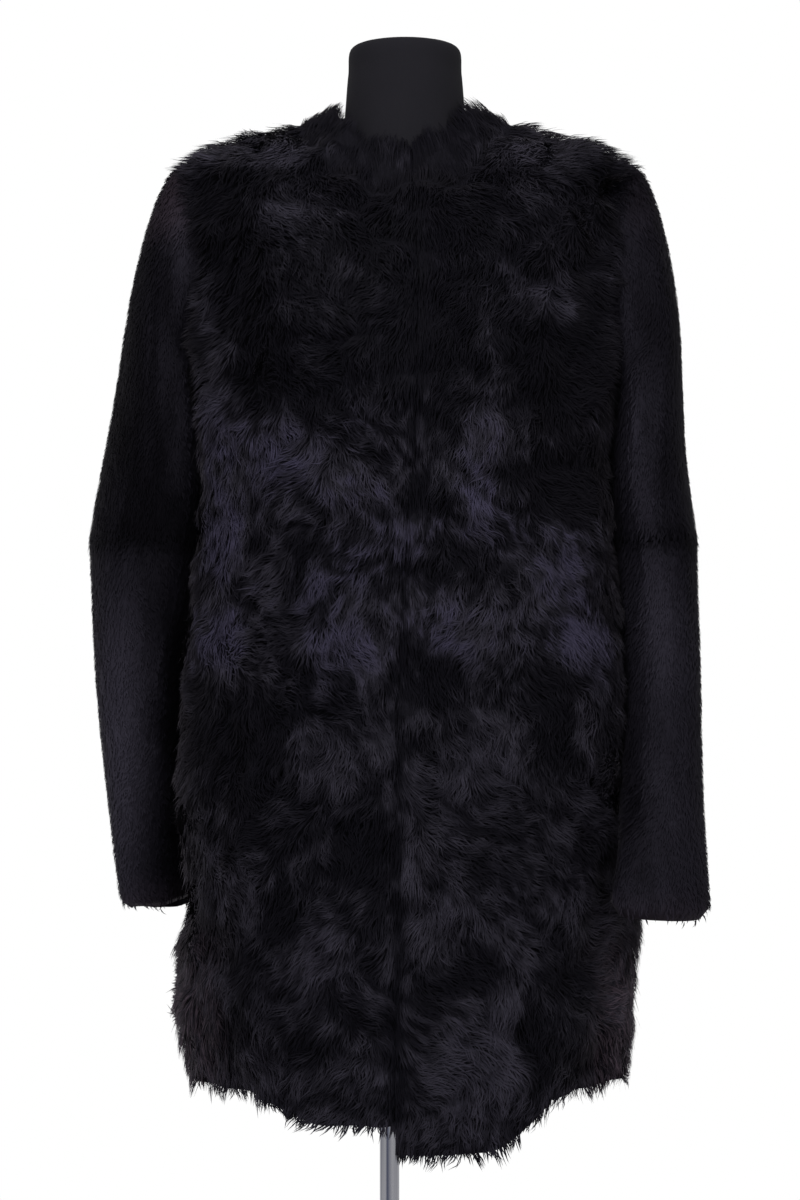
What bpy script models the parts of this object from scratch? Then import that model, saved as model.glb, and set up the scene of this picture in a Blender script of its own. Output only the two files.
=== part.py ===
# A knee-length fur coat, closed at the front, on a limbless dress form with a chrome stand.
# Metres, +Z up. The coat faces -Y; the wearer's left is +X. The origin is on the pole's axis, on the floor.

import math
from collections import namedtuple

import bmesh
import bpy
from mathutils import Vector

for old in list(bpy.data.objects):
    bpy.data.objects.remove(old)

# ---------------------------------------------------------------- driving dimensions
CENTRE_X = 0.0136        # the form's middle, measured from the pole's axis
SEAM_GAP = 0.0003        # between neighbouring pieces
ARMHOLE_GAP = 0.00045    # the same where a sleeve leaves the body at an angle
BODY_WALL = 0.015        # hide, lining and long hair combed down
SLEEVE_WALL = 0.008      # hide, lining and short sheared hair
ARMHOLE_HALF_ANGLE = math.radians(24)
ARMHOLE_LOW = 7          # rows of body_sections between which the armhole is cut
ARMHOLE_TOP = 10
ARMHOLE_MIDDLE = (ARMHOLE_TOP + ARMHOLE_LOW) / 2
ARMHOLE_HALF = (ARMHOLE_TOP - ARMHOLE_LOW) / 2
LAP_RISE = 0.003         # the wearer's left front lies slightly proud along the closure
LAP_WIDTH = 0.03
LEFT_HEM_DROP = 0.046    # how much lower than the side hem each front hangs towards the closure
RIGHT_HEM_DROP = 0.022
HEM_DROP_ROWS = 1.8      # rows over which the drop fades out upwards
HEM_DROP_FROM = math.radians(22)
HEM_DROP_TO = math.radians(40)

PANEL_COLUMNS = 12       # from centre front to side seam
SKIRT_ROWS = 13
ARMHOLE_ROWS = 10
YOKE_ROWS = 5
SLEEVE_BLEND_ROWS = 3.0  # rows over which a sleeve leaves the armhole's own curve
PROBE = 0.004            # step in angle and row for measuring a surface's slope

POLE_RADIUS = 0.0086
SOCKET_RADIUS = 0.0200
SOCKET_HEIGHT = 0.040
BASE_RADIUS = 0.180
BASE_THICKNESS = 0.010
BASE_EDGE = 0.003
BASE_SOCKET_RADIUS = 0.019
BASE_SOCKET_HEIGHT = 0.045
ROUND_SEGMENTS = 40

# Horizontal sections of the coat's outer form, from hem to neck. Heights at the sides, at the centre
# front and at the centre back; half the width; depth to the front and to the back of the side line;
# how full the section is at its corners; and where the closure lies, towards the wearer's left.
BodySection = namedtuple("BodySection", "side_z front_z back_z half_width front back fullness closure")
body_sections = [
    BodySection(0.553, 0.553, 0.548, 0.2000, 0.156, 0.148, 0.020, -0.007),
    BodySection(0.620, 0.618, 0.620, 0.2060, 0.160, 0.151, 0.020, -0.007),
    BodySection(0.712, 0.706, 0.712, 0.1985, 0.157, 0.147, 0.022, -0.007),
    BodySection(0.800, 0.798, 0.800, 0.1935, 0.153, 0.141, 0.026, -0.006),
    BodySection(0.905, 0.905, 0.905, 0.1890, 0.148, 0.132, 0.030, -0.004),
    BodySection(1.020, 1.020, 1.020, 0.1790, 0.143, 0.122, 0.034, 0.002),
    BodySection(1.100, 1.100, 1.100, 0.1740, 0.145, 0.120, 0.036, 0.009),
    BodySection(1.170, 1.170, 1.170, 0.1760, 0.148, 0.124, 0.036, 0.012),
    BodySection(1.245, 1.238, 1.242, 0.1820, 0.140, 0.126, 0.032, 0.013),
    BodySection(1.318, 1.288, 1.305, 0.1880, 0.122, 0.121, 0.022, 0.011),
    BodySection(1.368, 1.316, 1.345, 0.1870, 0.105, 0.110, 0.010, 0.009),
    BodySection(1.388, 1.333, 1.376, 0.1250, 0.089, 0.092, 0.004, 0.008),
    BodySection(1.410, 1.348, 1.399, 0.0640, 0.073, 0.074, 0.000, 0.007),
]

# Soft flutes in the skirt: direction seen from above (0 = wearer's left, -90 = front), depth,
# width, and the row of body_sections where the flute has faded out.
Flute = namedtuple("Flute", "angle depth width reach")
skirt_flutes = [
    Flute(-146, -0.0070, 11, 3.4),
    Flute(-122, 0.0050, 12, 4.0),
    Flute(-57, 0.0055, 12, 4.4),
    Flute(-33, -0.0080, 10, 3.2),
    Flute(38, -0.0070, 13, 4.2),
    Flute(66, 0.0070, 14, 4.6),
    Flute(98, -0.0060, 13, 3.6),
    Flute(132, 0.0080, 15, 4.8),
]

# Sections of each sleeve from armhole to cuff. The outer and the inner point of each section, the middle's
# place from front to back, half the depth, and how far the front edge is turned outwards.
SleeveSection = namedtuple("SleeveSection", "outer_x outer_z inner_x inner_z middle_y half_depth turn")
left_sleeve_sections = [
    SleeveSection(0.1880, 1.370, 0.1790, 1.170, 0.000, 0.054, 0.000),
    SleeveSection(0.2050, 1.358, 0.1850, 1.165, 0.000, 0.058, 0.000),
    SleeveSection(0.2185, 1.330, 0.1870, 1.157, 0.002, 0.062, 0.000),
    SleeveSection(0.2290, 1.290, 0.1865, 1.143, 0.004, 0.066, 0.002),
    SleeveSection(0.2390, 1.232, 0.1840, 1.120, 0.006, 0.070, 0.003),
    SleeveSection(0.2435, 1.160, 0.1815, 1.090, 0.008, 0.073, 0.002),
    SleeveSection(0.2480, 1.090, 0.1815, 1.056, 0.010, 0.073, 0.000),
    SleeveSection(0.2570, 1.028, 0.1850, 1.024, 0.008, 0.070, 0.002),
    SleeveSection(0.2595, 0.965, 0.1890, 0.965, 0.002, 0.067, 0.005),
    SleeveSection(0.2595, 0.885, 0.1935, 0.886, -0.018, 0.062, 0.007),
    SleeveSection(0.2590, 0.805, 0.1890, 0.808, -0.052, 0.054, 0.000),
    SleeveSection(0.2610, 0.742, 0.1760, 0.749, -0.088, 0.042, -0.012),
    SleeveSection(0.2620, 0.707, 0.1680, 0.716, -0.104, 0.038, -0.016),
]
right_sleeve_sections = [
    SleeveSection(0.1880, 1.370, 0.1790, 1.170, 0.000, 0.054, 0.000),
    SleeveSection(0.2045, 1.358, 0.1850, 1.165, 0.001, 0.058, 0.000),
    SleeveSection(0.2200, 1.330, 0.1870, 1.157, 0.004, 0.062, 0.000),
    SleeveSection(0.2340, 1.288, 0.1865, 1.143, 0.007, 0.066, -0.002),
    SleeveSection(0.2480, 1.232, 0.1840, 1.118, 0.011, 0.070, -0.008),
    SleeveSection(0.2610, 1.160, 0.1820, 1.090, 0.015, 0.073, -0.014),
    SleeveSection(0.2740, 1.090, 0.1835, 1.056, 0.018, 0.073, -0.018),
    SleeveSection(0.2840, 1.028, 0.1860, 1.024, 0.018, 0.070, -0.016),
    SleeveSection(0.2810, 0.965, 0.1900, 0.965, 0.018, 0.067, -0.008),
    SleeveSection(0.2740, 0.885, 0.1940, 0.886, 0.020, 0.063, 0.002),
    SleeveSection(0.2660, 0.800, 0.1890, 0.803, 0.038, 0.058, 0.010),
    SleeveSection(0.2600, 0.732, 0.1810, 0.741, 0.061, 0.050, 0.018),
    SleeveSection(0.2560, 0.695, 0.1765, 0.712, 0.071, 0.046, 0.020),
]
ELBOW_ROW = 7            # where the upper sleeve is sewn to the lower one
ELBOW_GAP_ROWS = 0.006   # the seam gap there, in rows

# Creases of the hanging sleeves: row and direction round the sleeve (0 = inner side, 90 = front,
# 180 = outer side), depth, and size along and round the sleeve.
Crease = namedtuple("Crease", "row angle depth rows width")
left_sleeve_creases = [
    Crease(2.9, 70, 0.0060, 0.5, 26),
    Crease(5.6, 125, 0.0040, 0.6, 40),
    Crease(6.6, 95, 0.0050, 0.3, 55),
    Crease(7.5, 205, 0.0040, 0.4, 45),
    Crease(9.3, 120, 0.0035, 0.8, 30),
]
right_sleeve_creases = [
    Crease(3.2, 110, 0.0040, 0.6, 30),
    Crease(5.2, 150, 0.0040, 0.7, 35),
    Crease(6.6, 100, 0.0055, 0.3, 60),
    Crease(7.7, 160, 0.0035, 0.4, 40),
    Crease(9.8, 80, 0.0035, 0.7, 30),
]

# Sections of the dress form, from its underside to the top of its neck.
FormSection = namedtuple("FormSection", "side_z front_z back_z half_width front back")
form_sections = [
    FormSection(0.780, 0.780, 0.780, 0.118, 0.082, 0.086),
    FormSection(0.783, 0.783, 0.783, 0.132, 0.094, 0.098),
    FormSection(0.800, 0.800, 0.800, 0.144, 0.104, 0.108),
    FormSection(0.860, 0.860, 0.860, 0.155, 0.112, 0.112),
    FormSection(0.950, 0.950, 0.950, 0.148, 0.106, 0.104),
    FormSection(1.040, 1.040, 1.040, 0.120, 0.092, 0.082),
    FormSection(1.120, 1.120, 1.120, 0.132, 0.108, 0.086),
    FormSection(1.195, 1.195, 1.195, 0.148, 0.124, 0.098),
    FormSection(1.262, 1.255, 1.258, 0.153, 0.112, 0.103),
    FormSection(1.315, 1.285, 1.298, 0.156, 0.094, 0.098),
    FormSection(1.346, 1.302, 1.326, 0.145, 0.080, 0.088),
    FormSection(1.364, 1.310, 1.350, 0.096, 0.066, 0.072),
    FormSection(1.372, 1.318, 1.364, 0.062, 0.058, 0.061),
    FormSection(1.391, 1.344, 1.386, 0.0535, 0.055, 0.057),
    FormSection(1.418, 1.412, 1.416, 0.0520, 0.056, 0.057),
    FormSection(1.455, 1.454, 1.455, 0.0495, 0.054, 0.054),
    FormSection(1.464, 1.463, 1.464, 0.0450, 0.050, 0.050),
    FormSection(1.469, 1.468, 1.469, 0.0370, 0.041, 0.041),
    FormSection(1.471, 1.471, 1.471, 0.0250, 0.028, 0.028),
]
FORM_COLUMNS = 36


# ---------------------------------------------------------------- shapes
def between(sections, row):
    # Every column of a table at a place between its rows, as a smooth curve through them.
    last = len(sections) - 1
    low = min(max(int(math.floor(row)), 0), last - 1)
    t = row - low
    near = [sections[min(max(low + k, 0), last)] for k in (-1, 0, 1, 2)]
    weights = (
        (-t + 2 * t * t - t ** 3) / 2,
        (2 - 5 * t * t + 3 * t ** 3) / 2,
        (t + 4 * t * t - 3 * t ** 3) / 2,
        (-t * t + t ** 3) / 2,
    )
    values = [sum(w * section[i] for w, section in zip(weights, near)) for i in range(len(sections[0]))]
    return type(sections[0])(*values)


def fadeOut(value, reach):
    # 1 at value 0, smoothly down to 0 at reach.
    share = min(max(1 - value / reach, 0), 1)
    return share * share * (3 - 2 * share)


def angleApart(a, b):
    return (a - b + math.pi) % (2 * math.pi) - math.pi


def ringPoint(section, angle):
    # A point of a horizontal section whose height differs between sides, front and back.
    side = math.cos(angle) ** 2
    isFront = math.sin(angle) < 0
    depth = section.front if isFront else section.back
    endZ = section.front_z if isFront else section.back_z
    return Vector((
        section.half_width * math.cos(angle),
        depth * math.sin(angle),
        endZ + (section.side_z - endZ) * side,
    ))


def bodyPoint(angle, row):
    # The coat's outer form.
    section = between(body_sections, row)
    point = ringPoint(section, angle)
    spread = 1 + section.fullness * math.sin(2 * angle) ** 2
    out = Vector((math.cos(angle), math.sin(angle), 0))
    for flute in skirt_flutes:
        apart = angleApart(angle, math.radians(flute.angle)) / math.radians(flute.width)
        point += out * flute.depth * math.exp(-apart * apart) * fadeOut(row, flute.reach)
    point.x *= spread
    point.y *= spread
    return point


def closureAngle(row):
    section = between(body_sections, row)
    return -math.pi / 2 + math.asin(section.closure / section.half_width)


def surfaceNormal(surface, angle, row):
    # The outward direction of a surface given by angle and row.
    across = surface(angle + PROBE, row) - surface(angle - PROBE, row)
    along = surface(angle, row + PROBE) - surface(angle, row - PROBE)
    return across.cross(along).normalized()


def seamAngle(angle, row, side):
    # The angle half a seam gap away from a seam; side is +1 or -1.
    pace = (bodyPoint(angle + PROBE, row) - bodyPoint(angle - PROBE, row)).length / (2 * PROBE)
    return angle + side * SEAM_GAP / 2 / pace


def wallMesh(name, outer, inner, isTube):
    # A closed wall between two grids of points. A tube's columns join up into rings.
    rows = len(outer)
    columns = len(outer[0])
    points = [p for grid in (outer, inner) for line in grid for p in line]

    def index(isInner, r, c):
        return (isInner * rows + r) * columns + c % columns

    faces = []
    spans = columns if isTube else columns - 1
    for r in range(rows - 1):
        for c in range(spans):
            faces.append([index(0, r, c), index(0, r, c + 1), index(0, r + 1, c + 1), index(0, r + 1, c)])
            faces.append([index(1, r, c), index(1, r + 1, c), index(1, r + 1, c + 1), index(1, r, c + 1)])
    for r in (0, rows - 1):
        for c in range(spans):
            faces.append([index(0, r, c), index(1, r, c), index(1, r, c + 1), index(0, r, c + 1)])
    if not isTube:
        for c in (0, columns - 1):
            for r in range(rows - 1):
                faces.append([index(0, r, c), index(0, r + 1, c), index(1, r + 1, c), index(1, r, c)])
    return solidObject(name, points, faces)


def solidObject(name, points, faces):
    mesh = bpy.data.meshes.new(name)
    mesh.from_pydata([tuple(p) for p in points], [], faces)
    mesh.validate()
    builder = bmesh.new()
    builder.from_mesh(mesh)
    bmesh.ops.recalc_face_normals(builder, faces=builder.faces)
    bmesh.ops.triangulate(builder, faces=builder.faces)
    builder.to_mesh(mesh)
    builder.free()
    mesh.shade_smooth()
    mesh.set_sharp_from_angle(angle=math.radians(40))
    made = bpy.data.objects.new(name, mesh)
    bpy.context.scene.collection.objects.link(made)
    return made


def turned(name, profile):
    # A solid of revolution about +Z from (radius, height) pairs, closed by flat ends.
    points = []
    for radius, height in profile:
        for step in range(ROUND_SEGMENTS):
            angle = 2 * math.pi * step / ROUND_SEGMENTS
            points.append((radius * math.cos(angle), radius * math.sin(angle), height))
    return solidObject(name, points, ringFaces(len(profile), ROUND_SEGMENTS))


def ringFaces(rings, segments):
    faces = []
    for r in range(rings - 1):
        for c in range(segments):
            nextC = (c + 1) % segments
            low = r * segments
            high = low + segments
            faces.append([low + c, low + nextC, high + nextC, high + c])
    faces.append(list(range(segments)))
    faces.append([(rings - 1) * segments + c for c in range(segments)])
    return faces


# ---------------------------------------------------------------- the coat's body
def bodyRows():
    # Rows from hem to neck; through the armhole they crowd towards its ends, where it curves most.
    rows = [ARMHOLE_LOW * r / SKIRT_ROWS for r in range(SKIRT_ROWS)]
    rows += [armholeRow(math.pi * r / ARMHOLE_ROWS) for r in range(ARMHOLE_ROWS)]
    top = len(body_sections) - 1
    rows += [ARMHOLE_TOP + (top - ARMHOLE_TOP) * r / YOKE_ROWS for r in range(YOKE_ROWS + 1)]
    return rows


def armholeRow(turn):
    return ARMHOLE_MIDDLE - ARMHOLE_HALF * math.cos(turn)


def armholeAngle(row):
    # How far the armhole's edge lies from the side line at this row; 0 above and below it.
    share = (row - ARMHOLE_MIDDLE) / ARMHOLE_HALF
    return ARMHOLE_HALF_ANGLE * math.sqrt(max(1 - share * share, 0))


def bodyPanel(name, edges, columns, rise=0.0, drop=0.0):
    # One panel of the coat. edges(row) gives its first and last angle; drop is how much lower than its
    # side its hem hangs near the closure.
    outer = []
    inner = []
    for row in bodyRows():
        first, last = edges(row)
        outerLine = []
        innerLine = []
        for column in range(columns + 1):
            angle = first + (last - first) * column / columns
            normal = surfaceNormal(bodyPoint, angle, row)
            fromClosure = (bodyPoint(angle, row) - bodyPoint(closureAngle(row), row)).length
            lift = rise * fadeOut(fromClosure, LAP_WIDTH)
            point = bodyPoint(angle, row) + normal * lift
            fromFront = abs(angleApart(angle, -math.pi / 2))
            share = fadeOut(max(fromFront - HEM_DROP_FROM, 0), HEM_DROP_TO - HEM_DROP_FROM)
            point.z -= drop * share * fadeOut(row, HEM_DROP_ROWS)
            outerLine.append(point)
            innerLine.append(point - normal * BODY_WALL)
        outer.append(outerLine)
        inner.append(innerLine)
    return wallMesh(name, outer, inner, isTube=False)


def frontLeftEdges(row):
    return seamAngle(closureAngle(row), row, 1), seamAngle(-armholeAngle(row), row, -1)


def frontRightEdges(row):
    return seamAngle(-math.pi + armholeAngle(row), row, 1), seamAngle(closureAngle(row), row, -1)


def backEdges(row):
    return seamAngle(armholeAngle(row), row, 1), seamAngle(math.pi - armholeAngle(row), row, -1)


# ---------------------------------------------------------------- the sleeves
def sleevePoint(sections, creases, side, around, row):
    # A sleeve's outer form. around is 0 at its inner side, a quarter turn at the front.
    point = sleeveRing(sections, side, around, row)
    sideLine = 0 if side > 0 else math.pi
    armholeEdge = bodyPoint(sideLine - side * ARMHOLE_HALF_ANGLE * math.sin(around), armholeRow(around))
    armholeEdge.x += side * ARMHOLE_GAP
    share = fadeOut(row, SLEEVE_BLEND_ROWS)
    point += (armholeEdge - sleeveRing(sections, side, around, 0)) * share
    for crease in creases:
        alongBy = (row - crease.row) / crease.rows
        roundBy = angleApart(around, math.radians(crease.angle)) / math.radians(crease.width)
        pull = crease.depth * math.exp(-alongBy * alongBy - roundBy * roundBy)
        middle = between(sections, row)
        inward = Vector((side * (middle.outer_x + middle.inner_x) / 2, middle.middle_y, point.z)) - point
        point += inward.normalized() * pull
    return point


def sleeveRing(sections, side, around, row):
    section = between(sections, row)
    halfX = (section.outer_x - section.inner_x) / 2
    halfX = math.copysign(math.sqrt(max(halfX * halfX - section.turn ** 2, 1e-8)), halfX)
    middleX = (section.outer_x + section.inner_x) / 2
    halfZ = (section.outer_z - section.inner_z) / 2
    middleZ = (section.outer_z + section.inner_z) / 2
    return Vector((
        side * (middleX - halfX * math.cos(around) + section.turn * math.sin(around)),
        section.middle_y - section.half_depth * math.sin(around),
        middleZ - halfZ * math.cos(around),
    ))


def sleeveTube(name, sections, creases, side, firstRow, lastRow, rowCount):
    def surface(around, row):
        return sleevePoint(sections, creases, side, around, row)

    outer = []
    inner = []
    ringCount = 2 * ARMHOLE_ROWS
    for r in range(rowCount + 1):
        row = firstRow + (lastRow - firstRow) * r / rowCount
        outerLine = []
        innerLine = []
        for c in range(ringCount):
            around = 2 * math.pi * c / ringCount
            point = surface(around, row)
            normal = surfaceNormal(surface, around, max(row, PROBE)) * -side
            outerLine.append(point)
            innerLine.append(point - normal * SLEEVE_WALL)
        outer.append(outerLine)
        inner.append(innerLine)
    return wallMesh(name, outer, inner, isTube=True)


# ---------------------------------------------------------------- the dress form and its stand
def dressForm():
    points = []
    for section in form_sections:
        for column in range(FORM_COLUMNS):
            points.append(ringPoint(section, 2 * math.pi * column / FORM_COLUMNS))
    return solidObject("form_body", points, ringFaces(len(form_sections), FORM_COLUMNS))


def stand():
    plateTop = BASE_THICKNESS
    socketLow = form_sections[0].side_z - SEAM_GAP - SOCKET_HEIGHT
    poleRun = (BASE_THICKNESS + SEAM_GAP, socketLow - SEAM_GAP)
    plate = turned("base_plate", [
        (BASE_RADIUS, 0),
        (BASE_RADIUS, plateTop - BASE_EDGE),
        (BASE_RADIUS - BASE_EDGE, plateTop),
    ])
    pole = turned("pole", [(POLE_RADIUS, poleRun[0]), (POLE_RADIUS, poleRun[1])])
    socket = turned("pole_socket", [
        (SOCKET_RADIUS - BASE_EDGE, socketLow),
        (SOCKET_RADIUS, socketLow + BASE_EDGE),
        (SOCKET_RADIUS, socketLow + SOCKET_HEIGHT),
    ])
    return plate, pole, socket, collar()


def collar():
    # The ring on the base plate that grips the pole.
    low = BASE_THICKNESS + SEAM_GAP
    high = low + BASE_SOCKET_HEIGHT
    bore = POLE_RADIUS + SEAM_GAP * 2
    shoulder = high - BASE_EDGE
    radius = BASE_SOCKET_RADIUS
    outerLine = [(radius, low), (radius, shoulder), (radius - BASE_EDGE, high)]
    innerLine = [(bore, low), (bore, shoulder), (bore, high)]

    def ring(radius, height):
        turns = [2 * math.pi * step / ROUND_SEGMENTS for step in range(ROUND_SEGMENTS)]
        return [Vector((radius * math.cos(turn), radius * math.sin(turn), height)) for turn in turns]

    return wallMesh("base_socket", [ring(*p) for p in outerLine], [ring(*p) for p in innerLine], isTube=True)


# ---------------------------------------------------------------- materials
def finish(name, colour, roughness, metallic=0.0, sheen=0.0):
    material = bpy.data.materials.new(name)
    material.use_nodes = True
    shader = material.node_tree.nodes["Principled BSDF"]
    shader.inputs["Base Color"].default_value = (*colour, 1)
    shader.inputs["Roughness"].default_value = roughness
    shader.inputs["Metallic"].default_value = metallic
    shader.inputs["Sheen Weight"].default_value = sheen
    return material


def build():
    longFur = finish("long_fur", (0.012, 0.011, 0.018), 0.75, sheen=0.4)
    shortFur = finish("short_fur", (0.008, 0.008, 0.013), 0.85, sheen=0.3)
    formCover = finish("form_cover", (0.012, 0.012, 0.014), 0.9)
    chrome = finish("chrome", (0.62, 0.64, 0.66), 0.12, metallic=1.0)

    parts = []
    for name, edges, columns, rise, drop in (
            ("front_left", frontLeftEdges, PANEL_COLUMNS, LAP_RISE, LEFT_HEM_DROP),
            ("front_right", frontRightEdges, PANEL_COLUMNS, 0.0, RIGHT_HEM_DROP),
            ("back", backEdges, 2 * PANEL_COLUMNS, 0.0, 0.0)):
        parts.append((bodyPanel(name, edges, columns, rise, drop), longFur))
    lastRow = len(left_sleeve_sections) - 1
    for label, side, sections, creases in (
            ("left", 1, left_sleeve_sections, left_sleeve_creases),
            ("right", -1, right_sleeve_sections, right_sleeve_creases)):
        seamRow = ELBOW_ROW - ELBOW_GAP_ROWS
        upper = sleeveTube("sleeve_upper_" + label, sections, creases, side, 0, seamRow, 12)
        lower = sleeveTube("sleeve_lower_" + label, sections, creases, side, ELBOW_ROW, lastRow, 10)
        parts.append((upper, shortFur))
        parts.append((lower, shortFur))
    parts.append((dressForm(), formCover))
    for part, material in parts:
        part.location.x = CENTRE_X
        part.data.materials.append(material)
    for part in stand():
        part.data.materials.append(chrome)


build()
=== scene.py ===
# Finishes and fur for the coat on its dress form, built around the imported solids.
import math

import bmesh
import bpy
import numpy as np
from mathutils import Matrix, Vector
from mathutils.kdtree import KDTree


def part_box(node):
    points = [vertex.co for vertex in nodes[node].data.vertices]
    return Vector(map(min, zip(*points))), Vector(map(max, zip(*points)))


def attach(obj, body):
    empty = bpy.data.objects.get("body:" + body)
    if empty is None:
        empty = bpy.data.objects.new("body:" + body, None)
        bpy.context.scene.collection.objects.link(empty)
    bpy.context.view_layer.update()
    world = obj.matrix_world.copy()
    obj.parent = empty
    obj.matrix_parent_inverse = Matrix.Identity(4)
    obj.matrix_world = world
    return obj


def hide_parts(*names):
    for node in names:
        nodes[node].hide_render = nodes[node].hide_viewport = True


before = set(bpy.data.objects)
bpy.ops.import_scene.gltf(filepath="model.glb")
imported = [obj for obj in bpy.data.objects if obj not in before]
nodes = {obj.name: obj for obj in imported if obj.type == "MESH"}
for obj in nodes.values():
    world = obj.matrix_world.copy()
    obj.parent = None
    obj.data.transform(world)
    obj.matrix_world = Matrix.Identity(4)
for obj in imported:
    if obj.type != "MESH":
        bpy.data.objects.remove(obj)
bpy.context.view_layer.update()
formLow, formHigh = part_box("form_body")
centreX = (formLow[0] + formHigh[0]) / 2  # the form stands a little beside its pole
up = np.array((0.0, 0.0, 1.0))


# Shader wiring: a socket that takes part in Python arithmetic, and a finish that makes nodes.
class Wire:
    def __init__(self, finish, socket):
        self.finish = finish
        self.socket = socket

    def worked(self, operation, first, second):
        return self.finish.node("ShaderNodeMath", {"operation": operation}, {0: first, 1: second})


for word, operation in (("add", "ADD"), ("sub", "SUBTRACT"), ("mul", "MULTIPLY"), ("pow", "POWER")):
    setattr(Wire, f"__{word}__", lambda self, other, kind=operation: self.worked(kind, self, other))
    setattr(Wire, f"__r{word}__", lambda self, other, kind=operation: self.worked(kind, other, self))


class Finish:
    def __init__(self, name, colour, roughness, plain=None):
        self.material = bpy.data.materials.new(name)
        self.material.use_nodes = True
        self.tree = self.material.node_tree
        self.shader = self.tree.nodes["Principled BSDF"]
        self.feed("Base Color", (*colour, 1.0))
        self.feed("Roughness", roughness)
        for socket, value in (plain or {}).items():
            self.feed(socket, value)

    def node(self, kind, settings=None, sockets=None, output=0):
        made = self.tree.nodes.new(kind)
        for key, value in (settings or {}).items():
            setattr(made, key, value)
        for key, value in (sockets or {}).items():
            self.join(made.inputs[key], value)
        return Wire(self, made.outputs[output])

    def join(self, socket, value):
        if isinstance(value, Wire):
            self.tree.links.new(value.socket, socket)
        else:
            socket.default_value = value

    def feed(self, name, value):
        self.join(self.shader.inputs[name], value)

    def attribute(self, name):
        return self.node("ShaderNodeAttribute", {"attribute_name": name}, output="Fac")

    def place(self):
        return self.node("ShaderNodeTexCoord", output="Object")

    def stretched(self, scale):
        sockets = {"Vector": self.place(), "Scale": scale}
        return self.node("ShaderNodeMapping", {"vector_type": "POINT"}, sockets)

    def noise(self, vector, scale, detail=3.0):
        return self.node("ShaderNodeTexNoise", None, {"Vector": vector, "Scale": scale, "Detail": detail})

    def blend(self, factor, first, second):
        colours = {"Factor": factor, 6: colour4(first), 7: colour4(second)}
        return self.node("ShaderNodeMix", {"data_type": "RGBA"}, colours, output=2)

    def shade(self, factor, colour):  # a colour made darker by a factor below 1
        return self.blend(factor, (0, 0, 0), colour)

    def bump(self, height, distance):
        self.feed("Normal", self.node("ShaderNodeBump", None, {"Height": height, "Distance": distance}))


def colour4(colour):
    return colour if isinstance(colour, Wire) else (*colour, 1.0)


# ---- fields over the coat: soft noise, lumps of fur, and the way the hair is combed
def softNoise(points, size, seed):
    # A smooth random field, about -1 to 1, whose features are roughly size across.
    random = np.random.default_rng(seed)
    total = np.zeros(len(points))
    waves = 9
    for _ in range(waves):
        direction = random.normal(size=3)
        direction /= np.linalg.norm(direction)
        pitch = size * random.uniform(1.3, 2.6)
        total += np.sin(points @ direction * (2 * math.pi / pitch) + random.uniform(0, 2 * math.pi))
    return total / math.sqrt(waves / 2)


def smooth(value, low, high):
    share = np.clip((value - low) / (high - low), 0, 1)
    return share * share * (3 - 2 * share)


def inMetres(rows):
    # Rows given in millimetres, but for each one's last value.
    return [tuple(size / 1000 for size in row[:-1]) + row[-1:] for row in rows]


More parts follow.
